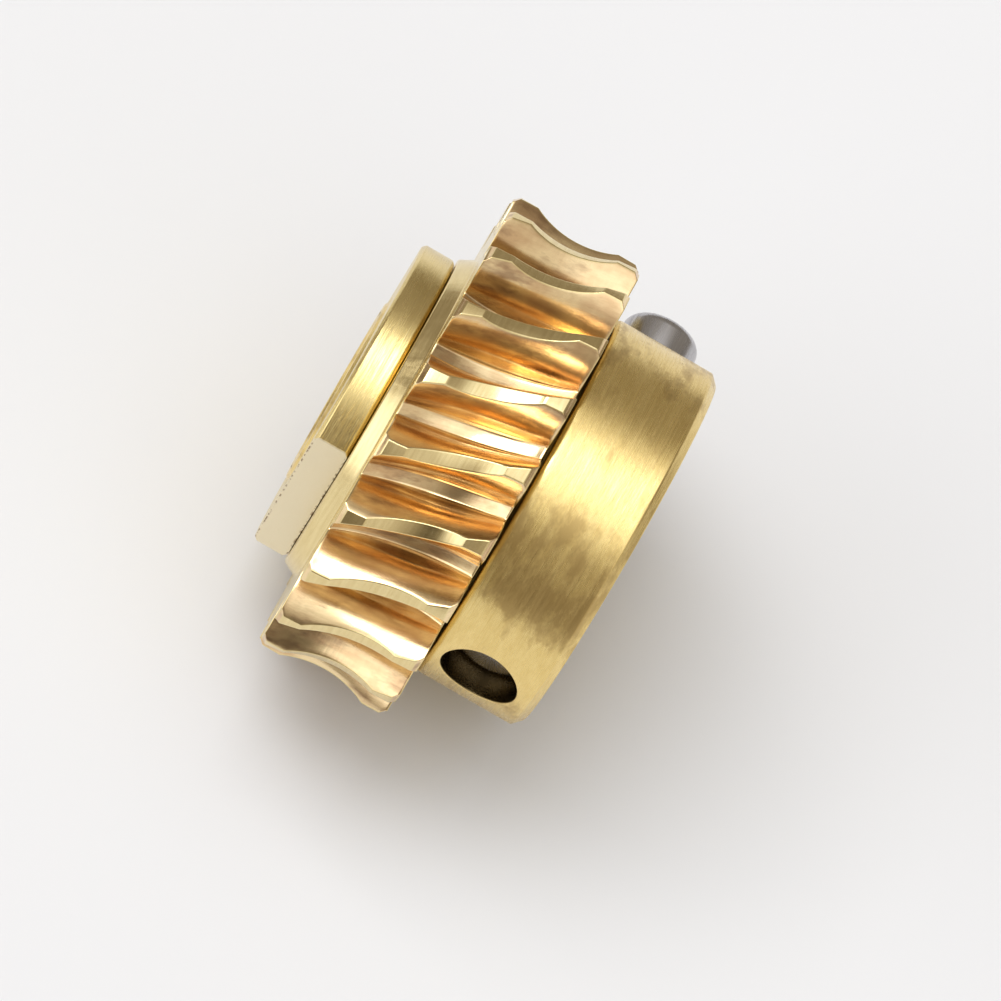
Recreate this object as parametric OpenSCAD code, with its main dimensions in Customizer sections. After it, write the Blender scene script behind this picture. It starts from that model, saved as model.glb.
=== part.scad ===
// Throated worm wheel unit: a bronze worm wheel held on a brass hub sleeve
// between the hub collar and a ring nut, with a steel cross pin for the shaft.
// The common axis is +Y, with the collar towards +Y. The origin is the centre
// of the bore on the middle plane of the wheel. Angles around the axis start
// at +X and grow towards +Z.

/* [Gearing] */
// Transverse module of the wheel, the same as the worm's axial module
module_t = 1.5; // [1.4:0.05:1.6]
// Number of wheel teeth
teeth_n = 20; // [18:1:24]
// Number of starts on the mating worm
worm_starts = 3; // [1:1:4]
// Pitch diameter of the mating worm
worm_d = 16.8; // [16:0.2:18]
// Axial pressure angle of the worm thread, in degrees
pressure_a = 20; // [18:1:24]
// Depth of the tooth spaces below the pitch surface, as a factor of the module
dedendum_f = 1.2; // [1.1:0.05:1.25]
// Radius at the tip of the worm cutter, which rounds the tooth roots
root_fillet = 0.2; // [0.1:0.05:0.4]
// Angle of one tooth's middle, at the middle plane
tooth_phase = 6; // [0:1:17]

/* [Worm wheel] */
// Width of the toothed rim
wheel_w = 9.7; // [8:0.1:12]
// Diameter over the tooth corners
wheel_d = 34.5; // [34:0.1:35]
// Chamfer on the two rim corners
wheel_chamfer = 0.4; // [0.2:0.1:0.8]
// Length of the shoulder that the ring nut bears on
shoulder_l = 1.15; // [0.5:0.05:2]
// Diameter of that shoulder at the ring nut
shoulder_d1 = 23.2; // [23:0.1:24]
// Diameter of that shoulder where it meets the rim
shoulder_d2 = 24.4; // [23:0.1:25]
// Length of the low shoulder on the collar side
spacer_l = 0.2; // [0.15:0.05:0.4]
// Diameter of the low shoulder on the collar side
spacer_d = 21; // [18:0.5:24]
// Diameter of the turned web inside the toothed rim
web_d = 25.6; // [25.4:0.1:25.8]
// Depth of the web's faces below the rim's faces
web_inset = 0.05; // [0.05:0.01:0.2]

/* [Hub] */
// Diameter of the collar
collar_d = 27; // [25:0.5:30]
// Length of the collar
collar_l = 7.95; // [7.45:0.25:11.95]
// Rounding of the collar edge beside the wheel
collar_round = 0.45; // [0.2:0.05:0.5]
// Chamfer of the collar's outer end
collar_chamfer = 0.6; // [0.2:0.1:1]
// Diameter of the sleeve that carries the wheel and the ring nut
sleeve_d = 14; // [13:0.5:16]
// Length of sleeve that stands out of the ring nut
sleeve_proud = 0.2; // [0:0.05:1]
// Diameter of the shaft bore
bore_d = 10; // [8:0.5:11]
// Diameter of the relief in the collar, which clears the shaft around the pin
relief_d = 10.5; // [10.2:0.1:11.5]
// Distance of the relief's start from the collar's face beside the wheel
relief_inset = 0.45; // [0.1:0.05:0.6]
// Chamfer at both mouths of the bore and at the sleeve end
mouth_chamfer = 0.4; // [0.2:0.1:0.6]

/* [Ring nut] */
// Diameter of the ring nut
ring_d = 22.7; // [20:0.1:23]
// Thickness of the ring nut
ring_t = 2.5; // [2:0.1:4]
// Distance across its two spanner flats
ring_flats = 18; // [17:0.5:20]
// Direction that one flat faces
flat_angle = 6; // [0:1:90]
// Chamfer on both rims of the ring nut
ring_chamfer = 0.25; // [0.1:0.05:0.5]

/* [Cross pin] */
// Diameter of the steel pin
pin_d = 5.5; // [4:0.5:6]
// Length of the pin
pin_l = 28; // [26:1:32]
// Rounding of the pin's two ends
pin_round = 0.8; // [0.3:0.1:1.2]
// Distance of the pin's middle from the axis, towards -X
pin_offset = 2.5; // [0:0.5:3]
// Distance of the pin's axis from the collar's face beside the wheel
pin_inset = 3.65; // [3.4:0.05:4.4]

/* [Fits] */
// Radial clearance of the wheel and the ring nut on the sleeve
sleeve_gap = 0.03; // [0.02:0.01:0.05]
// Radial clearance of the pin in its hole
pin_gap = 0.02; // [0.01:0.01:0.05]
// Gap between the faces of the collar, the wheel and the ring nut
face_gap = 0.05; // [0.03:0.01:0.1]

/* [Hidden] */

$fn = 96;
// extra length of a cut beyond the surface it opens
over = 1;

// gearing
pitch_r = module_t * teeth_n / 2;
worm_r = worm_d / 2;
centre_l = pitch_r + worm_r;
throat_r = pitch_r + module_t;
throat_arc = centre_l - throat_r;
hob_r = worm_r + dedendum_f * module_t;
lead_l = PI * module_t * worm_starts;
half_space = PI * module_t / 4;
tooth_step = 360 / teeth_n;
rim_r = wheel_d / 2;

// places along the axis
half_w = wheel_w / 2;
collar_y0 = half_w + spacer_l + face_gap;
collar_y1 = collar_y0 + collar_l;
pin_y = collar_y0 + pin_inset;
ring_y1 = -half_w - shoulder_l - face_gap;
ring_y0 = ring_y1 - ring_t;
sleeve_y0 = ring_y0 - sleeve_proud;

// points on each stretch of a tooth space, and planes across half the rim
flank_n = 4;
fillet_n = 2;
arc_n = 3;
// depth to which the toothed rim is buried in the web
rim_bury = 0.3;
rim_inner_r = web_d / 2 - rim_bury;
// where the throat meets the cylindrical lands
land_y = sqrt(throat_arc * throat_arc - pow(centre_l - rim_r, 2));

// Half thickness of the worm thread at radius r
function thread_half(r) = half_space + (worm_r - r) * tan(pressure_a);

// Slope of the thread's flank at height h, in the plane at y
function flank_slope(h, y, side) =
    let (x = worm_r - h, r = norm([x, y]))
    side * tan(pressure_a) * x / r + lead_l / (2 * PI) * y / (r * r);

// One flank point [z, h, nz, nh] of the thread in the plane at y: z runs
// sideways, h is the height above the pitch line, and side is -1 or 1
function flank_point(h, y, side) =
    let (x = worm_r - h)
    [lead_l / 360 * atan2(y, x) + side * thread_half(norm([x, y])), h, 1, -flank_slope(h, y, side)];

// Height of the thread's crest in the plane at y
function crest_h(y) = worm_r - sqrt(hob_r * hob_r - y * y);

// Direction in which the flank faces at the crest: 90 is straight sideways
function crest_turn(y, side) = 90 - atan(side * flank_slope(crest_h(y) + root_fillet, y, side));

// Height at which the flank meets the crest's rounding
function blend_h(y, side) = crest_h(y) + root_fillet * (1 - cos(crest_turn(y, side)));

// Points of the rounding, from the flank to the crest
function fillet_points(y, side) =
    let (turn = crest_turn(y, side), f = flank_point(blend_h(y, side), y, side))
    let (middle_z = f[0] - side * root_fillet * sin(turn), middle_h = crest_h(y) + root_fillet)
    [for (i = [1 : fillet_n])
        let (a = turn * (1 - i / fillet_n))
        [middle_z + side * root_fillet * sin(a), middle_h - root_fillet * cos(a), side * sin(a), -cos(a)]];

// Where a worm point leaves the wheel as the two roll together: [radius, angle]
function conjugate(p) =
    let (q = p[1] * p[2] / p[3])
    [norm([q, pitch_r + p[1]]), atan2(q, pitch_r + p[1]) + (p[0] - q) / pitch_r * 180 / PI];

// Height at which the flank reaches radius r, by halving the range n times
function height_at(r, y, side, low = 0, high = 3, n = 16) =
    let (mid = (low + high) / 2)
    n == 0 ? mid
    : conjugate(flank_point(mid, y, side))[0] < r ? height_at(r, y, side, mid, high, n - 1)
    : height_at(r, y, side, low, mid, n - 1);

// Half outline of a tooth space in the plane at y, from the tip to the root
function half_outline(y, tip_r, side) =
    let (low = blend_h(y, side), high = height_at(tip_r, y, side))
    [for (i = [0 : flank_n - 1])
        conjugate(flank_point(high + (low - high) * i / (flank_n - 1), y, side)),
     for (p = fillet_points(y, side)) conjugate(p)];

half_count = flank_n + fillet_n;
loop_count = 2 * half_count * teeth_n;

// Outline of the whole rim in the plane at y, as [radius, angle] points
function rim_outline(y, tip_r) =
    let (a = half_outline(y, tip_r, -1), b = half_outline(y, tip_r, 1))
    let (space = concat(a, [for (i = [half_count - 1 : -1 : 0]) b[i]]))
    [for (i = [0 : teeth_n - 1]) for (p = space)
        [p[0], p[1] + tooth_phase + (i + 0.5) * tooth_step]];

// Planes across the rim, as [place along the axis, tip radius]
half_planes = [
    for (i = [0 : arc_n]) let (a = i / arc_n * asin(land_y / throat_arc))
        [throat_arc * sin(a), centre_l - throat_arc * cos(a)],
    [half_w - wheel_chamfer, rim_r],
    [half_w, rim_r - wheel_chamfer]];
planes = concat(
    [for (i = [len(half_planes) - 1 : -1 : 1]) [-half_planes[i][0], half_planes[i][1]]],
    half_planes);

// The toothed rim: a ring whose outside follows the outlines plane by plane
module toothed_rim() {
    n = loop_count;
    outside = [for (p = planes) for (q = rim_outline(p[0], p[1]))
        [q[0] * cos(q[1]), p[0], q[0] * sin(q[1])]];
    inside = [for (p = [planes[0], planes[len(planes) - 1]]) for (q = rim_outline(p[0], p[1]))
        [rim_inner_r * cos(q[1]), p[0], rim_inner_r * sin(q[1])]];
    far = (len(planes) - 1) * n;
    inner = len(planes) * n;
    teeth = [for (k = [0 : len(planes) - 2]) for (j = [0 : n - 1])
        let (a = k * n + j, b = k * n + (j + 1) % n)
        for (t = [[a, b, b + n], [a, b + n, a + n]]) t];
    ends = [for (j = [0 : n - 1])
        let (k = (j + 1) % n)
        for (q = [[j, inner + j, inner + k, k],
                  [far + k, inner + n + k, inner + n + j, far + j]]) q];
    wall = [for (j = [0 : n - 1])
        let (a = inner + j, b = inner + (j + 1) % n)
        for (t = [[a, b + n, b], [a, a + n, b + n]]) t];
    polyhedron(concat(outside, inside), concat(teeth, ends, wall));
}

// Turn a shape made around +Z so that its axis is +Y
module along_y() {
    rotate([-90, 0, 0]) children();
}

// The turned middle of the wheel: bore, web and the two shoulders
module wheel_web() {
    bore_r = sleeve_d / 2 + sleeve_gap;
    face_y = half_w - web_inset;
    along_y() rotate_extrude() polygon([
        [bore_r, -half_w - shoulder_l],
        [shoulder_d1 / 2, -half_w - shoulder_l],
        [shoulder_d2 / 2, -face_y],
        [web_d / 2, -face_y],
        [web_d / 2, face_y],
        [spacer_d / 2, face_y],
        [spacer_d / 2, half_w + spacer_l],
        [bore_r, half_w + spacer_l]]);
}

module worm_wheel() {
    color("#c9a24d") {
        wheel_web();
        toothed_rim();
    }
}

// Outline of the collar and the sleeve: one corner rounded, the rest chamfered
module hub_outline() {
    c = mouth_chamfer;
    polygon([
        [bore_d / 2, sleeve_y0 + c],
        [bore_d / 2 + c, sleeve_y0],
        [sleeve_d / 2 - c, sleeve_y0],
        [sleeve_d / 2, sleeve_y0 + c],
        [sleeve_d / 2, collar_y0],
        [collar_d / 2 - collar_round, collar_y0],
        [collar_d / 2, collar_y0 + collar_round],
        [collar_d / 2, collar_y1 - collar_chamfer],
        [collar_d / 2 - collar_chamfer, collar_y1],
        [relief_d / 2 + c, collar_y1],
        [relief_d / 2, collar_y1 - c],
        [relief_d / 2, collar_y0 + relief_inset],
        [bore_d / 2, collar_y0 + relief_inset]]);
    translate([collar_d / 2 - collar_round, collar_y0 + collar_round]) circle(r = collar_round);
}

module hub_sleeve() {
    color("#cdb56d") difference() {
        along_y() rotate_extrude() hub_outline();
        translate([-collar_d, pin_y, 0]) rotate([0, 90, 0])
            cylinder(r = pin_d / 2 + pin_gap, h = 2 * collar_d);
    }
}

module ring_nut() {
    r = ring_d / 2;
    c = ring_chamfer;
    bore_r = sleeve_d / 2 + sleeve_gap;
    color("#c6ae62") intersection() {
        along_y() rotate_extrude() polygon([
            [bore_r, ring_y0],
            [r - c, ring_y0],
            [r, ring_y0 + c],
            [r, ring_y1 - c],
            [r - c, ring_y1],
            [bore_r, ring_y1]]);
        rotate([0, -flat_angle, 0]) translate([-ring_flats / 2, ring_y0 - over, -ring_d])
            cube([ring_flats, ring_t + 2 * over, 2 * ring_d]);
    }
}

module cross_pin() {
    r = pin_d / 2;
    end = pin_l / 2;
    color("#8d9096") translate([-pin_offset, pin_y, 0]) rotate([0, 90, 0]) rotate_extrude() {
        translate([0, -end]) square([r - pin_round, pin_l]);
        translate([0, pin_round - end]) square([r, pin_l - 2 * pin_round]);
        for (side = [-1, 1]) intersection() {
            translate([r - pin_round, side * (end - pin_round)]) circle(r = pin_round);
            translate([0, -end]) square([r, pin_l]);
        }
    }
}

hub_sleeve();
worm_wheel();
ring_nut();
cross_pin();
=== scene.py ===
import math

import bmesh
import bpy
from mathutils import Matrix, Vector


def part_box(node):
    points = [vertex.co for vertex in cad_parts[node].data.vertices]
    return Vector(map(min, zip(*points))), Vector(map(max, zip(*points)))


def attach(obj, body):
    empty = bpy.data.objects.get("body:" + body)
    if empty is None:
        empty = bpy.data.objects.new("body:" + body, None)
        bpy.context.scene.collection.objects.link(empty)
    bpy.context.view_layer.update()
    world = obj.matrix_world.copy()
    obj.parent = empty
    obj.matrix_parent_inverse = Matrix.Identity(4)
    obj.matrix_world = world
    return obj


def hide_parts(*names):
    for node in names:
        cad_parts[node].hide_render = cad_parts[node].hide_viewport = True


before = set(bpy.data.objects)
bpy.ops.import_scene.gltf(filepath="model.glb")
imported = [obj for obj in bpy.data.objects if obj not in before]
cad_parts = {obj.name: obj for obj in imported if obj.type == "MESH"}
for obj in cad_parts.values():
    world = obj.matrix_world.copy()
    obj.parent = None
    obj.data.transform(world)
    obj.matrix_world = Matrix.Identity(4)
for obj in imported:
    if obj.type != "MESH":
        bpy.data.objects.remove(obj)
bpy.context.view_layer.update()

MM = 0.001

# ---------------------------------------------------------------- sizes, in mm
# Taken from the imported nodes, with the +Y axis through the bore.


def node_box(name):
    """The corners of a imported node's box, in mm."""
    low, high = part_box(name)
    return low / MM, high / MM


hub_low, hub_high = node_box("hub_sleeve")
ring_low, ring_high = node_box("ring_nut")
wheel_low, wheel_high = node_box("worm_wheel")
pin_low, pin_high = node_box("cross_pin")

# hub
collar_r = hub_high.x
collar_y1 = hub_high.y
sleeve_y0 = hub_low.y
collar_round = 0.45
collar_chamfer = 0.6
sleeve_r = 7.0
bore_r = 5.0
relief_r = 5.25
relief_y = collar_y1 - 7.5
mouth_chamfer = 0.4
face_gap = 0.05

# wheel
shoulder_l = 1.15
half_w = 4.85
spacer_l = wheel_high.y - half_w
collar_y0 = wheel_high.y + face_gap
rim_r = 17.25
rim_chamfer = 0.4
shoulder_r1 = 11.6
shoulder_r2 = 12.2
spacer_r = 10.5
web_r = 13.2
sleeve_gap = 0.03

# gearing, as the worm that cut the wheel
module_t = 1.5
teeth_n = 20
worm_starts = 3
worm_r = 8.4
pressure_a = math.radians(20)
dedendum_f = 1.2
root_fillet = 0.2
tooth_phase = math.radians(6)
pitch_r = module_t * teeth_n / 2
centre_l = pitch_r + worm_r
throat_r = pitch_r + module_t
throat_arc = centre_l - throat_r
hob_r = worm_r + dedendum_f * module_t
lead_l = math.pi * module_t * worm_starts
half_space = math.pi * module_t / 4
tooth_step = 2 * math.pi / teeth_n
land_y = math.sqrt(throat_arc ** 2 - (centre_l - rim_r) ** 2)

# pin
pin_r = pin_high.z
pin_y = (pin_low.y + pin_high.y) / 2
pin_round = 0.8
hole_r = pin_r + 0.02

# angle around the bore where a dark reflection is painted onto the collar, as a band of brown stain
dark_reflection_angle = math.radians(46)

# ring nut
ring_r = 11.35
ring_flats = 18.0
flat_angle = math.radians(6)
ring_chamfer = 0.25
flat_bevel = 0.07

# light: brightness of the room's walls, power of the key light in watts
wall_level = 0.30
key_power = 25.0
# bright and dark patches of the room: direction, degrees to the edge, to the core, strength
room_patches = [
    ((0, 0, 1), 42, 14, 0.75),
    ((0.48, -0.75, 0.45), 32, 12, 1.15),
    ((0.60, 0.60, 0.53), 50, 20, 0.35),
    ((0.85, 0.0, 0.52), 34, 8, -0.15)]


# ---------------------------------------------------------------- camera
def make_camera():
    """A long lens above the +X side, rolled so that the bore axis runs down to the right."""
    elevation = math.radians(60.6)  # of the view, above the +X horizon
    lead = math.radians(2.45)  # the camera stands this far towards -Y
    roll = math.radians(30)  # the bore axis runs down to the right
    distance = 513.3 * MM
    aim = Vector((-3.407, 3.02)) * MM  # the origin in the picture plane

    front = Vector((math.cos(elevation), 0, math.sin(elevation)))
    upward = Vector((-math.sin(elevation), 0, math.cos(elevation)))
    axis = Vector((0, 1, 0))
    toward = front * math.cos(lead) - axis * math.sin(lead)
    along = axis * math.cos(lead) + front * math.sin(lead)
    right = along * math.cos(roll) + upward * math.sin(roll)
    up = upward * math.cos(roll) - along * math.sin(roll)

    data = bpy.data.cameras.new("camera")
    data.sensor_width = 36
    data.lens = 276.9
    data.clip_start = 0.05
    data.clip_end = 20
    camera = bpy.data.objects.new("camera", data)
    place = toward * distance - right * aim.x - up * aim.y
    turn = Matrix((right, up, toward)).transposed().to_4x4()
    camera.matrix_world = Matrix.Translation(place) @ turn
    bpy.context.scene.collection.objects.link(camera)
    bpy.context.scene.camera = camera


# ---------------------------------------------------------------- mesh helpers
def on_axis(radius, angle, y):
    """A point in metres at that radius and angle around the bore axis."""
    return Vector((radius * math.cos(angle), y, radius * math.sin(angle))) * MM


def arc_points(centre, radius, start, end, count):
    """(r, y) points on an arc in a profile, both ends included."""
    angles = [start + (end - start) * i / count for i in range(count + 1)]
    return [(centre[0] + radius * math.cos(a), centre[1] + radius * math.sin(a)) for a in angles]


def skin(bm, loops, closed=False):
    """Join neighbouring loops of vertices with quads."""
    pairs = list(zip(loops, loops[1:]))
    if closed:
        pairs.append((loops[-1], loops[0]))
    for a, b in pairs:
        count = len(a)
        for i in range(count):
            k = (i + 1) % count
            bm.faces.new((a[i], a[k], b[k], b[i]))


def bevel_profile(points, width, count=3, closed=True, hold=0.03):
    """Round each corner of a profile by a small arc-like curve.

    Two more points, hold away from the curve, keep the faces beside it flat."""
    result = []
    total = len(points)
    for i, point in enumerate(points):
        p = Vector(point)
        if not closed and i in (0, total - 1):
            result.append(point)
            continue
        before = Vector(points[i - 1]) - p
        after = Vector(points[(i + 1) % total]) - p
        if before.angle(-after) < math.radians(14):
            result.append(point)
            continue
        reach = min(width, 0.4 * before.length, 0.4 * after.length)
        a = p + before.normalized() * reach
        b = p + after.normalized() * reach
        if before.length > 3 * reach:
            result.append(tuple(a + before.normalized() * hold))
        for k in range(count + 1):
            t = k / count
            q = a * (1 - t) ** 2 + p * 2 * t * (1 - t) + b * t ** 2
            result.append((q.x, q.y))
        if after.length > 3 * reach:
            result.append(tuple(b + after.normalized() * hold))
    return result


def split_long(points, longest, closed=True):
    """Add points so that no stretch of a profile is longer than given."""
    result = []
    total = len(points) if closed else len(points) - 1
    for i in range(total):
        a = Vector(points[i])
        b = Vector(points[(i + 1) % len(points)])
        count = max(1, math.ceil((b - a).length / longest))
        for k in range(count):
            q = a.lerp(b, k / count)
            result.append((q.x, q.y))
    if not closed:
        result.append(points[-1])
    return result


def finish_piece(bm, name, body, node, material):
    """Turn a bmesh into a piece that rides on its body and stands for its node."""
    bmesh.ops.recalc_face_normals(bm, faces=bm.faces)
    mesh = bpy.data.meshes.new(name)
    bm.to_mesh(mesh)
    bm.free()
    mesh.shade_smooth()
    piece = bpy.data.objects.new(name, mesh)
    bpy.context.scene.collection.objects.link(piece)
    piece.data.materials.append(material)
    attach(piece, body)
    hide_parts(node)
    return piece


def weigh_normals(piece):
    """Let the large faces set the shading, so that narrow bevels look round."""
    modifier = piece.modifiers.new("normals", "WEIGHTED_NORMAL")
    modifier.weight = 100
    modifier.keep_sharp = True


# ---------------------------------------------------------------- worm wheel
def flank_slope(h, y, side):
    """Slope of the worm thread's flank at height h, in the plane at y."""
    x = worm_r - h
    r = math.hypot(x, y)
    return side * math.tan(pressure_a) * x / r + lead_l / (2 * math.pi) * y / r ** 2


def flank_point(h, y, side):
    """(z, h, nz, nh): a point and normal of the worm thread's flank in the plane at y."""
    x = worm_r - h
    half = half_space + (worm_r - math.hypot(x, y)) * math.tan(pressure_a)
    z = lead_l / (2 * math.pi) * math.atan2(y, x) + side * half
    return z, h, 1, -flank_slope(h, y, side)


def crest_h(y):
    """Height of the thread's crest in the plane at y."""
    return worm_r - math.sqrt(hob_r ** 2 - y ** 2)


def crest_turn(y, side):
    """Direction in which the flank faces at the crest."""
    return math.pi / 2 - math.atan(side * flank_slope(crest_h(y) + root_fillet, y, side))


def blend_h(y, side):
    """Height at which the flank meets the crest's rounding."""
    return crest_h(y) + root_fillet * (1 - math.cos(crest_turn(y, side)))


def fillet_points(y, side, count):
    """Points of the rounding, from the flank to the crest."""
    turn = crest_turn(y, side)
    z = flank_point(blend_h(y, side), y, side)[0] - side * root_fillet * math.sin(turn)
    h = crest_h(y) + root_fillet
    result = []
    for i in range(1, count + 1):
        a = turn * (1 - i / count)
        result.append((z + side * root_fillet * math.sin(a), h - root_fillet * math.cos(a),
                       side * math.sin(a), -math.cos(a)))
    return result


def conjugate(point):
    """(radius, angle) on the wheel that this point of the worm generates."""
    z, h, nz, nh = point
    q = h * nz / nh
    return math.hypot(q, pitch_r + h), math.atan2(q, pitch_r + h) + (z - q) / pitch_r


def height_at(r, y, side):
    """Height at which the flank reaches radius r, by halving the range."""
    low, high = 0.0, 3.0
    for _ in range(30):
        mid = (low + high) / 2
        if conjugate(flank_point(mid, y, side))[0] < r:
            low = mid
        else:
            high = mid
    return (low + high) / 2


def half_outline(y, tip_r, side, flank_n=16, fillet_n=5, tip_break=0.05, tip_n=3):
    """(radius, angle) points of half a tooth space, from the tooth tip to the root."""
    high = height_at(tip_r - tip_break, y, side)
    low = blend_h(y, side)
    corner = conjugate(flank_point(height_at(tip_r, y, side), y, side))
    start = (tip_r, corner[1] + side * tip_break / tip_r)
    end = conjugate(flank_point(high, y, side))
    points = []
    for i in range(tip_n):
        t = i / tip_n
        weights = ((1 - t) ** 2, 2 * t * (1 - t), t ** 2)
        points.append(tuple(sum(w * p[k] for w, p in zip(weights, (start, corner, end)))
                            for k in range(2)))
    for i in range(flank_n):
        points.append(conjugate(flank_point(high + (low - high) * i / (flank_n - 1), y, side)))
    points += [conjugate(p) for p in fillet_points(y, side, fillet_n)]
    return points


def rim_outline(y, tip_r):
    """The whole rim's outline in the plane at y, as (radius, angle) points."""
    left = half_outline(y, tip_r, -1)
    right = half_outline(y, tip_r, 1)
    root = [(pitch_r + crest_h(y), (left[-1][1] + right[-1][1]) / 2)]
    space = left + root + right[::-1]
    land_start = space[-1][1]
    land_end = space[0][1] + tooth_step
    land = [(tip_r, land_start + (land_end - land_start) * t) for t in (0.07, 0.35, 0.65, 0.93)]
    tooth = space + land
    result = []
    for k in range(teeth_n):
        turn = tooth_phase + (k + 0.5) * tooth_step
        result += [(r, a + turn) for r, a in tooth]
    return result


def rim_planes():
    """(y, tip radius) of the planes across the rim, from the middle to one face."""
    throat_n = 18
    reach = math.asin(land_y / throat_arc)
    planes = []
    for i in range(throat_n + 1):
        a = reach * i / throat_n
        planes.append((throat_arc * math.sin(a), centre_l - throat_arc * math.cos(a)))
    edge = half_w - rim_chamfer
    planes += [(land_y + 0.04, rim_r), (land_y + (edge - land_y) / 2, rim_r), (edge - 0.06, rim_r),
               (edge - 0.01, rim_r - 0.004), (edge + 0.04, rim_r - 0.04)]
    planes += [(half_w - 0.2, rim_r - 0.2), (half_w - 0.08, rim_r - 0.32)]
    return planes


def inset_outline(points, depth):
    """Move an outline inwards, square to itself."""
    flat = [Vector((r * math.cos(a), r * math.sin(a))) for r, a in points]
    result = []
    for i, p in enumerate(flat):
        run = flat[(i + 1) % len(flat)] - flat[i - 1]
        q = p + Vector((-run.y, run.x)).normalized() * depth
        angle = math.atan2(q.y, q.x)
        angle += round((points[i][1] - angle) / (2 * math.pi)) * 2 * math.pi
        result.append((q.length, angle))
    return result


def make_wheel(material):
    """The toothed rim, plane by plane, closed through the turned middle."""
    half = rim_planes()
    planes = [(-y, r) for y, r in half[:0:-1]] + half
    bm = bmesh.new()
    loops = []
    outlines = [(y, rim_outline(y, r)) for y, r in planes]
    for sign in (-1, 1):
        outline = outlines[0][1] if sign < 0 else outlines[-1][1]
        steps = []
        for depth, back in ((0.004, 0.03), (0.02, 0.01), (0.05, 0.0), (0.08, 0.0)):
            steps.append((sign * (half_w - back), inset_outline(outline, depth)))
        outlines = steps[::-1] + outlines if sign < 0 else outlines + steps
    for y, outline in outlines:
        loops.append([bm.verts.new(on_axis(r, a, y)) for r, a in outline])
    skin(bm, loops)

    # the turned middle: profile from the left rim face, through the bore, to the right one
    bore = sleeve_r + sleeve_gap
    left = [(shoulder_r2, -half_w), (shoulder_r1, -half_w - shoulder_l),
            (bore, -half_w - shoulder_l)]
    right = [(bore, half_w + spacer_l), (spacer_r, half_w + spacer_l), (spacer_r, half_w)]
    profile = [(web_r, -half_w)] + left + right + [(web_r, half_w)]
    profile = bevel_profile(profile, 0.12, closed=False)
    count = len(loops[0])
    rings = []
    for index, (r, y) in enumerate(profile):
        share = index / (len(profile) - 1)
        ring = []
        for i in range(count):
            a = outlines[0][1][i][1] * (1 - share) + outlines[-1][1][i][1] * share
            ring.append(bm.verts.new(on_axis(r, a, y)))
        rings.append(ring)
    skin(bm, [loops[0]] + rings + [loops[-1]])
    return finish_piece(bm, "worm_wheel_fine", "wheel", "worm_wheel", material)


# ---------------------------------------------------------------- hub
def window_loop(grid, columns, first, last, row_a, row_b):
    """The grid's vertices around a window, starting at the middle of its far side."""
    middle = (first + last) // 2
    up = [grid[row_b][c % columns] for c in range(middle, last)]
    down = [grid[r][last % columns] for r in range(row_b, row_a, -1)]
    back = [grid[row_a][c % columns] for c in range(last, first, -1)]
    rise = [grid[r][first % columns] for r in range(row_a, row_b)]
    rest = [grid[row_b][c % columns] for c in range(first, middle)]
    return up + down + back + rise + rest


def pierced_shell(bm, profile, row_a, row_b, half_angle, radius, lip, sink):
    """A turned shell with a window on each side of X, closed in to the cross hole's rim.

    Returns the shell's first and last loops, and the hole's rim loop on each side."""
    across, coarse = 32, 46
    fine = [half_angle * (2 * i / across - 1) for i in range(across)]
    span = math.pi - 2 * half_angle
    side = [half_angle + span * i / coarse for i in range(coarse)]
    half_turn = fine + side
    angles = half_turn + [a + math.pi for a in half_turn]
    columns = len(angles)
    grid = [[bm.verts.new(on_axis(r, a, y)) for a in angles] for r, y in profile]
    windows = [(0, across), (columns // 2, columns // 2 + across)]
    for j in range(len(profile) - 1):
        for i in range(columns):
            inside = any(a <= i < b for a, b in windows)
            if inside and row_a <= j < row_b:
                continue
            k = (i + 1) % columns
            bm.faces.new((grid[j][i], grid[j][k], grid[j + 1][k], grid[j + 1][i]))
    rims = []
    for sign, (first, last) in zip((1, -1), windows):
        outer = window_loop(grid, columns, first, last, row_a, row_b)
        total = len(outer)
        loops = [outer]
        for share in (0.3, 0.6, 0.85, 1.0):
            loop = []
            for i, vertex in enumerate(outer):
                psi = 2 * math.pi * i / total
                y0, z0 = vertex.co.y / MM, vertex.co.z / MM
                y1 = pin_y + (hole_r + lip) * math.cos(psi)
                z1 = sign * (hole_r + lip) * math.sin(psi)
                y, z = y0 + (y1 - y0) * share, z0 + (z1 - z0) * share
                x = sign * math.sqrt(radius ** 2 - z ** 2)
                loop.append(bm.verts.new(Vector((x, y, z)) * MM))
            loops.append(loop)
        steps = 3
        for s in range(1, steps + 1):
            b = math.pi / 2 * s / steps
            reach = hole_r + lip * (1 - math.sin(b))
            loop = []
            for i in range(total):
                psi = 2 * math.pi * i / total
                z = sign * reach * math.sin(psi)
                x = math.sqrt(radius ** 2 - z ** 2) - sink * lip * (1 - math.cos(b))
                y = pin_y + reach * math.cos(psi)
                loop.append(bm.verts.new(Vector((sign * x, y, z)) * MM))
            loops.append(loop)
        skin(bm, loops)
        rims.append(loops[-1])
    return grid[0], grid[-1], rims


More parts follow.
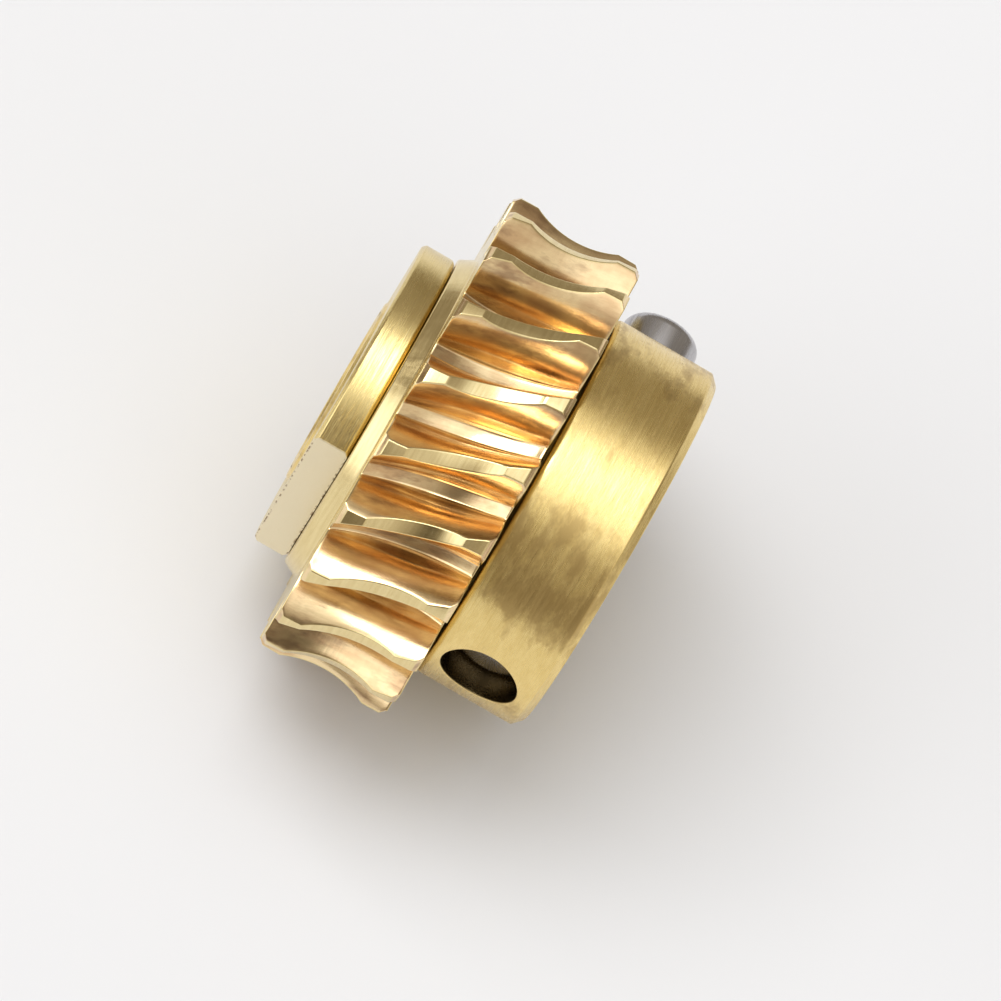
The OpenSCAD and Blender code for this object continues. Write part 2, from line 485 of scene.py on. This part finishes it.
def make_hub(material):
    """The collar and sleeve, bored through and pierced by the cross hole."""
    bm = bmesh.new()
    c = mouth_chamfer
    flat_end = collar_y1 - collar_chamfer
    round_end = collar_y0 + collar_round
    rows = 24
    wall_a, wall_b = round_end, pin_y + 3.3
    outer = [(sleeve_r - c - 0.6, sleeve_y0), (sleeve_r - c, sleeve_y0), (sleeve_r, sleeve_y0 + c),
             (sleeve_r, sleeve_y0 + 2), (sleeve_r, collar_y0)]
    outer = bevel_profile(outer, 0.06, closed=False)
    outer += [(sleeve_r + 0.1, collar_y0), (collar_r - collar_round - 0.1, collar_y0)]
    outer += arc_points((collar_r - collar_round, collar_y0 + collar_round), collar_round,
                        -math.pi / 2, 0, 8)[:-1]
    row_a = len(outer)
    outer += [(collar_r, wall_a + (wall_b - wall_a) * i / rows) for i in range(rows + 1)]
    row_b = len(outer) - 1
    end = [(collar_r, wall_b + 0.1), (collar_r, flat_end), (collar_r - collar_chamfer, collar_y1),
           (collar_r - collar_chamfer - 0.5, collar_y1)]
    outer += bevel_profile(end, 0.08, closed=False)
    first_out, last_out, mouths = pierced_shell(
        bm, outer, row_a, row_b, math.radians(15.5), collar_r, 0.07, 1)

    inner = [(bore_r + c + 0.6, sleeve_y0), (bore_r + c, sleeve_y0), (bore_r, sleeve_y0 + c),
             (bore_r, relief_y), (relief_r, relief_y), (relief_r, pin_y - 3.15)]
    inner = bevel_profile(inner, 0.06, closed=False)[:-1]
    row_a = len(inner)
    inner += [(relief_r, pin_y - 3.1 + 6.2 * i / rows) for i in range(rows + 1)]
    row_b = len(inner) - 1
    end = [(relief_r, pin_y + 3.2), (relief_r, collar_y1 - c), (relief_r + c, collar_y1),
           (relief_r + c + 0.5, collar_y1)]
    inner += bevel_profile(end, 0.06, closed=False)
    first_in, last_in, roots = pierced_shell(
        bm, inner, row_a, row_b, math.radians(40), relief_r, 0.03, -1)

    for mouth, root in zip(mouths, roots):
        loops = [mouth]
        for share in (0.1, 0.4, 0.7):
            loops.append([bm.verts.new(a.co.lerp(b.co, share)) for a, b in zip(mouth, root)])
        loops.append(root)
        skin(bm, loops)
    skin(bm, [first_out, first_in])
    skin(bm, [last_out, last_in])
    return finish_piece(bm, "hub_sleeve_fine", "hub", "hub_sleeve", material)


# ---------------------------------------------------------------- ring nut and pin
def make_ring(material):
    """The ring nut, turned and then cut to its two spanner flats."""
    bm = bmesh.new()
    y0, y1 = ring_low.y, ring_high.y
    c = ring_chamfer
    bore = sleeve_r + sleeve_gap
    profile = [(bore, y0 + 0.3), (bore + 0.3, y0), (ring_r - c, y0), (ring_r, y0 + c),
               (ring_r, y1 - c), (ring_r - c, y1), (bore + 0.1, y1), (bore, y1 - 0.1)]
    profile = split_long(bevel_profile(profile, 0.07), 0.8)
    count = 288
    loops = []
    for r, y in profile:
        loops.append([bm.verts.new(on_axis(r, 2 * math.pi * i / count, y)) for i in range(count)])
    skin(bm, loops, closed=True)
    for turn in (flat_angle, flat_angle + math.pi):
        normal = Vector((math.cos(turn), 0, math.sin(turn)))
        cut = bmesh.ops.bisect_plane(
            bm, geom=bm.verts[:] + bm.edges[:] + bm.faces[:], plane_co=normal * ring_flats / 2 * MM,
            plane_no=normal, clear_outer=True)
        edges = [e for e in cut["geom_cut"] if isinstance(e, bmesh.types.BMEdge)]
        bmesh.ops.holes_fill(bm, edges=edges)
    piece = finish_piece(bm, "ring_nut_fine", "ring", "ring_nut", material)
    bevel = piece.modifiers.new("flat_edges", "BEVEL")
    bevel.width = flat_bevel * MM
    bevel.segments = 3
    bevel.limit_method = "ANGLE"
    bevel.angle_limit = math.radians(30)
    bevel.use_clamp_overlap = True
    weigh_normals(piece)
    return piece


def make_pin(material):
    """The cross pin along X, with rounded ends."""
    bm = bmesh.new()
    x0, x1 = pin_low.x, pin_high.x
    c = pin_round
    left = arc_points((pin_r - c, x0 + c), c, -math.pi / 2, 0, 10)
    right = arc_points((pin_r - c, x1 - c), c, 0, math.pi / 2, 10)
    body = [(pin_r, x0 + c + (x1 - x0 - 2 * c) * i / 12) for i in range(1, 12)]
    profile = [(0.4, x0), (1.2, x0)] + left + body + right + [(1.2, x1), (0.4, x1)]
    count = 128
    loops = []
    for r, x in profile:
        ring = []
        for i in range(count):
            a = 2 * math.pi * i / count
            ring.append(bm.verts.new(Vector((x, pin_y + r * math.cos(a), r * math.sin(a))) * MM))
        loops.append(ring)
    skin(bm, loops)
    bm.faces.new(loops[0])
    bm.faces.new(loops[-1])
    return finish_piece(bm, "cross_pin_fine", "pin", "cross_pin", material)


# ---------------------------------------------------------------- materials
class Nodes:
    """Short calls for building one node tree."""

    def __init__(self, holder, shader_kind, out_kind):
        holder.use_nodes = True
        self.holder = holder
        self.tree = holder.node_tree
        self.tree.nodes.clear()
        self.out = self.add(out_kind)
        self.shader = self.add(shader_kind)
        self.link(self.shader.outputs[0], self.out.inputs["Surface"])

    def add(self, kind, **settings):
        """Add a node with those settings."""
        node = self.tree.nodes.new(kind)
        for key, value in settings.items():
            setattr(node, key, value)
        return node

    def link(self, a, b):
        """Join an output to an input."""
        self.tree.links.new(a, b)

    def put(self, socket, value):
        """Feed a socket from an output, or set its constant."""
        if hasattr(value, "is_output"):
            self.link(value, socket)
        else:
            socket.default_value = value

    def math(self, operation, a, b=0.0, c=0.0):
        """One math node."""
        node = self.add("ShaderNodeMath", operation=operation)
        for socket, value in zip(node.inputs, (a, b, c)):
            self.put(socket, value)
        return node.outputs[0]

    def position(self):
        """Place on the piece itself, in metres."""
        return self.add("ShaderNodeTexCoord").outputs["Object"]

    def noise(self, vector, scale, detail=3.0, roughness=0.5):
        """Fractal noise around 0.5."""
        node = self.add("ShaderNodeTexNoise")
        self.link(vector, node.inputs["Vector"])
        node.inputs["Scale"].default_value = scale
        node.inputs["Detail"].default_value = detail
        node.inputs["Roughness"].default_value = roughness
        return node.outputs["Fac"]

    def remap(self, value, a, b, c, d):
        """Map the range a to b onto c to d, clamped."""
        node = self.add("ShaderNodeMapRange")
        for socket, item in zip(list(node.inputs)[:5], (value, a, b, c, d)):
            self.put(socket, item)
        return node.outputs[0]

    def mix(self, factor, a, b):
        """Blend two colours."""
        node = self.add("ShaderNodeMix", data_type="RGBA")
        self.put(node.inputs["Factor"], factor)
        colours = [s for s in node.inputs if s.type == "RGBA"]
        self.put(colours[0], a)
        self.put(colours[1], b)
        return [s for s in node.outputs if s.type == "RGBA"][0]

    def bump(self, height, distance, strength=1.0, normal=None):
        """A normal from a height."""
        node = self.add("ShaderNodeBump")
        node.inputs["Strength"].default_value = strength
        node.inputs["Distance"].default_value = distance
        self.link(height, node.inputs["Height"])
        if normal is not None:
            self.link(normal, node.inputs["Normal"])
        return node.outputs[0]

    def around_axis(self):
        """Place along the bore axis, radius and angle around it."""
        split = self.add("ShaderNodeSeparateXYZ")
        self.link(self.position(), split.inputs[0])
        along = split.outputs["Y"]
        others = [split.outputs["X"], split.outputs["Z"]]
        radius = self.math("POWER", self.math("ADD", self.math("POWER", others[0], 2.0),
                                              self.math("POWER", others[1], 2.0)), 0.5)
        angle = self.math("ARCTAN2", others[1], others[0])
        return along, radius, angle

    def combine(self, x, y, z):
        """Three values as a vector."""
        node = self.add("ShaderNodeCombineXYZ")
        for socket, value in zip(node.inputs, (x, y, z)):
            self.put(socket, value)
        return node.outputs[0]


def surface(name):
    """A new material with one principled shader."""
    material = bpy.data.materials.new(name)
    return Nodes(material, "ShaderNodeBsdfPrincipled", "ShaderNodeOutputMaterial")


def turning(n, scale, length):
    """Noise drawn out around the bore axis: scale lines per mm, each about length rad long."""
    along, radius, angle = n.around_axis()
    return n.noise(n.combine(n.math("MULTIPLY", along, 1000 * scale),
                             n.math("MULTIPLY", radius, 1000 * scale),
                             n.math("DIVIDE", angle, length)), 1.0, 4.0, 0.7)


def painted_hole_shade(n):
    """1 inside the cross hole of the collar: the mask for painted shade in the hole."""
    split = n.add("ShaderNodeSeparateXYZ")
    n.link(n.position(), split.inputs[0])
    across = n.math("SUBTRACT", split.outputs["Y"], pin_y * MM)
    reach = n.math("SQRT", n.math("ADD", n.math("POWER", across, 2.0),
                                  n.math("POWER", split.outputs["Z"], 2.0)))
    return n.remap(reach, (hole_r + 0.01) * MM, (hole_r + 0.06) * MM, 1.0, 0.0)


def hub_material():
    """Brushed brass: fine rings around the bore, stain blotches with a painted dark reflection in a
    band, and painted shade in the cross hole.
    """
    n = surface("hub_brass")
    fine = turning(n, 7.0, 0.35)
    coarse = turning(n, 1.6, 0.12)
    along, radius, angle = n.around_axis()
    blotch = n.noise(n.combine(n.math("MULTIPLY", along, 420.0), n.math("MULTIPLY", radius, 300.0),
                               n.math("MULTIPLY", angle, 2.6)), 1.0, 5.0, 0.68)
    # painted dark reflection: near the dark reflection angle the stain mask is raised, so a band of
    # brown stands in for the dark room reflected there; the blotches elsewhere are a real stain
    away = n.math("ABSOLUTE", n.math("SUBTRACT", angle, dark_reflection_angle))
    near = n.remap(away, 0.12, 0.42, 0.12, 0.0)
    stain_and_dark_reflection = n.remap(n.math("ADD", blotch, near), 0.53, 0.66, 0.0, 1.0)
    tone = n.mix(n.remap(coarse, 0.35, 0.65, 0.0, 1.0),
                 (0.88, 0.69, 0.32, 1), (0.81, 0.62, 0.27, 1))
    # brown of the real stain blotches and of the painted dark reflection
    tone = n.mix(n.math("MULTIPLY", stain_and_dark_reflection, 0.70), tone, (0.47, 0.33, 0.14, 1))
    hole_shade = painted_hole_shade(n)
    # painted shade: the walls of the cross hole are darkened to a near-black brown
    n.link(n.mix(hole_shade, tone, (0.22, 0.17, 0.09, 1)), n.shader.inputs["Base Color"])
    n.shader.inputs["Metallic"].default_value = 1.0
    rough = n.math("ADD", n.remap(fine, 0.3, 0.7, 0.20, 0.34), n.math("MULTIPLY", stain_and_dark_reflection, 0.08))
    n.link(rough, n.shader.inputs["Roughness"])
    height = n.math("ADD", fine, n.math("MULTIPLY", coarse, 1.6))
    n.link(n.bump(height, 0.000010), n.shader.inputs["Normal"])
    return n.holder


def ring_material():
    """Coarsely turned brass, with paler milled flats."""
    n = surface("ring_brass")
    lines = turning(n, 3.4, 1.2)
    fine = turning(n, 9.0, 0.3)
    blotch = n.noise(n.position(), 260.0, 3.0)
    split = n.add("ShaderNodeSeparateXYZ")
    n.link(n.position(), split.inputs[0])
    across = n.math("ADD", n.math("MULTIPLY", split.outputs["X"], math.cos(flat_angle)),
                    n.math("MULTIPLY", split.outputs["Z"], math.sin(flat_angle)))
    flat = n.remap(n.math("ABSOLUTE", across), (ring_flats / 2 - 0.06) * MM,
                   (ring_flats / 2 - 0.01) * MM, 0.0, 1.0)
    turned = n.mix(n.remap(blotch, 0.35, 0.7, 0.0, 1.0),
                   (0.84, 0.68, 0.34, 1), (0.70, 0.55, 0.25, 1))
    tone = n.mix(flat, turned, (0.86, 0.77, 0.57, 1))
    middle = (ring_low.y + ring_high.y) / 2
    edge = n.math("ABSOLUTE", n.math("SUBTRACT", split.outputs["Y"], middle * MM))
    half_t = ring_high.y - middle
    edge = n.remap(edge, (half_t - 0.13) * MM, (half_t - 0.04) * MM, 0.0, 1.0)
    nick = n.remap(n.noise(n.position(), 2600.0, 2.0), 0.50, 0.58, 0.0, 0.8)
    nick = n.math("MULTIPLY", n.math("MULTIPLY", nick, edge), flat)
    n.link(n.mix(nick, tone, (0.22, 0.13, 0.06, 1)), n.shader.inputs["Base Color"])
    n.shader.inputs["Metallic"].default_value = 1.0
    plain = n.math("SUBTRACT", 1.0, flat)
    rough = n.math("ADD", n.remap(fine, 0.3, 0.7, 0.20, 0.30), n.math("MULTIPLY", flat, 0.18))
    n.link(rough, n.shader.inputs["Roughness"])
    height = n.math("ADD", n.math("MULTIPLY", n.math("MULTIPLY", lines, plain), 4.5), fine)
    n.link(n.bump(height, 0.000012), n.shader.inputs["Normal"])
    return n.holder


def wheel_material():
    """Bronze: turned lands and faces, hobbed flanks with copper tones, tool streaks and painted
    dark reflections.
    """
    n = surface("wheel_bronze")
    along, radius, angle = n.around_axis()
    y = n.math("MULTIPLY", along, 1000.0)
    r = n.math("MULTIPLY", radius, 1000.0)
    throat = n.math("SUBTRACT", centre_l, n.math("SQRT", n.math(
        "MAXIMUM", n.math("SUBTRACT", throat_arc ** 2, n.math("POWER", y, 2.0)), 1.0)))
    depth = n.math("SUBTRACT", n.math("MINIMUM", throat, rim_r), r)
    cut = n.remap(depth, 0.03, 0.12, 0.0, 1.0)
    inside = n.remap(n.math("ABSOLUTE", y), half_w - 0.12, half_w - 0.04, 1.0, 0.0)
    flank = n.math("MULTIPLY", n.math("MULTIPLY", cut, inside), n.remap(r, 12.6, 12.7, 0.0, 1.0))

    run = n.math("ADD", n.math("MULTIPLY", angle, pitch_r), n.math("MULTIPLY", y, -0.27))
    streak = n.noise(n.combine(n.math("MULTIPLY", run, 1.3), n.math("MULTIPLY", r, 1.3),
                               n.math("MULTIPLY", y, 0.12)), 1.0, 3.0, 0.55)
    ticks = n.noise(n.combine(n.math("MULTIPLY", y, 3.2), n.math("MULTIPLY", run, 0.7), 0.0),
                    1.0, 3.0)
    patch = n.noise(n.position(), 330.0, 4.0, 0.6)
    copper = n.remap(n.math("ADD", n.math("MULTIPLY", streak, 0.4), n.math("MULTIPLY", patch, 0.6)),
                     0.42, 0.60, 0.0, 1.0)
    cut_tone = n.mix(copper, (0.93, 0.74, 0.45, 1), (0.74, 0.53, 0.31, 1))
    # painted dark reflection: dark brown streaks on the hobbed flanks stand in for the dark room
    # they reflect
    dark_reflection_noise = n.noise(n.combine(n.math("MULTIPLY", run, 0.8), n.math("MULTIPLY", r, 0.5),
                                n.math("MULTIPLY", y, 0.22)), 1.0, 4.0, 0.6)
    dark = n.remap(dark_reflection_noise, 0.53, 0.67, 0.0, 0.65)
    cut_tone = n.mix(dark, cut_tone, (0.34, 0.21, 0.13, 1))
    lines = turning(n, 4.0, 0.25)
    plain_tone = n.mix(n.remap(lines, 0.3, 0.7, 0.0, 1.0),
                       (0.88, 0.74, 0.42, 1), (0.76, 0.61, 0.32, 1))
    n.link(n.mix(flank, plain_tone, cut_tone), n.shader.inputs["Base Color"])
    n.shader.inputs["Metallic"].default_value = 1.0
    n.link(n.remap(streak, 0.3, 0.7, 0.14, 0.26), n.shader.inputs["Roughness"])
    cut_height = n.math("ADD", streak, n.math("MULTIPLY", ticks, 0.35))
    height = n.math("ADD", n.math("MULTIPLY", cut_height, flank),
                    n.math("MULTIPLY", lines,
                           n.math("SUBTRACT", 0.25, n.math("MULTIPLY", flank, 0.25))))
    n.link(n.bump(height, 0.000011), n.shader.inputs["Normal"])
    return n.holder


def pin_material():
    """Ground steel, with faint lines along the pin."""
    n = surface("pin_steel")
    split = n.add("ShaderNodeSeparateXYZ")
    n.link(n.position(), split.inputs[0])
    turn = n.math("ARCTAN2", split.outputs["Z"], n.math("SUBTRACT", split.outputs["Y"], pin_y * MM))
    lines = n.noise(n.combine(n.math("MULTIPLY", split.outputs["X"], 300.0),
                              n.math("MULTIPLY", turn, 9.0), 0.0), 1.0, 4.0, 0.7)
    n.link(n.mix(n.remap(lines, 0.3, 0.7, 0.0, 1.0), (0.62, 0.61, 0.62, 1), (0.44, 0.43, 0.44, 1)),
           n.shader.inputs["Base Color"])
    n.shader.inputs["Metallic"].default_value = 1.0
    n.link(n.remap(lines, 0.3, 0.7, 0.20, 0.32), n.shader.inputs["Roughness"])
    n.link(n.bump(lines, 0.000003), n.shader.inputs["Normal"])
    return n.holder


# ---------------------------------------------------------------- floor and light
def make_floor():
    """A plain pale floor under the wheel."""
    bm = bmesh.new()
    size = 1.5
    level = wheel_low.z * MM
    corners = [(-size, -size), (size, -size), (size, size), (-size, size)]
    bm.faces.new([bm.verts.new((x, y, level)) for x, y in corners])
    mesh = bpy.data.meshes.new("floor")
    bm.to_mesh(mesh)
    bm.free()
    floor = bpy.data.objects.new("floor", mesh)
    bpy.context.scene.collection.objects.link(floor)
    n = surface("floor_paper")
    n.shader.inputs["Base Color"].default_value = (0.79, 0.80, 0.825, 1)
    n.shader.inputs["Roughness"].default_value = 0.8
    n.shader.inputs["Specular IOR Level"].default_value = 0.1
    mesh.materials.append(n.holder)


def area_light(name, place, target, width, height, power):
    """A rectangular light at a place, facing a target."""
    data = bpy.data.lights.new(name, "AREA")
    data.shape = "RECTANGLE"
    data.size = width
    data.size_y = height
    data.energy = power
    light = bpy.data.objects.new(name, data)
    aim = Vector(place) - Vector(target)
    turn = aim.to_track_quat("Z", "Y").to_matrix().to_4x4()
    light.matrix_world = Matrix.Translation(place) @ turn
    bpy.context.scene.collection.objects.link(light)


def make_world():
    """A grey room: pale ceiling, one bright window, and a dark side towards +X."""
    world = bpy.data.worlds.new("studio")
    bpy.context.scene.world = world
    n = Nodes(world, "ShaderNodeBackground", "ShaderNodeOutputWorld")
    way = n.add("ShaderNodeTexCoord").outputs["Generated"]

    def toward(direction, edge, core):
        """1 within core degrees of a direction, falling to 0 at edge degrees."""
        dot = n.add("ShaderNodeVectorMath", operation="DOT_PRODUCT")
        n.link(way, dot.inputs[0])
        dot.inputs[1].default_value = Vector(direction).normalized()
        blend = n.add("ShaderNodeMapRange", interpolation_type="SMOOTHSTEP")
        n.link(dot.outputs["Value"], blend.inputs["Value"])
        blend.inputs["From Min"].default_value = math.cos(math.radians(edge))
        blend.inputs["From Max"].default_value = math.cos(math.radians(core))
        return blend.outputs[0]

    level = wall_level
    for direction, edge, core, strength in room_patches:
        level = n.math("MULTIPLY_ADD", toward(direction, edge, core), strength, level)
    colour = n.mix(n.remap(level, 0.2, 0.9, 0.0, 1.0), (1.0, 0.88, 0.72, 1), (1.0, 1.0, 1.0, 1))
    n.link(colour, n.shader.inputs["Color"])
    n.link(level, n.shader.inputs["Strength"])


def make_light():
    """The room and one large soft light above the -Y side."""
    make_world()
    area_light("key", (-0.12, -1.0, 2.27), (0, 0, 0), 1.35, 1.9, key_power)


def main():
    """Camera, floor and light, then the four pieces."""
    make_camera()
    make_floor()
    make_light()
    view = bpy.context.scene.view_settings
    view.view_transform = "Standard"
    view.look = "Medium High Contrast"
    make_hub(hub_material())
    make_wheel(wheel_material())
    make_ring(ring_material())
    make_pin(pin_material())


main()
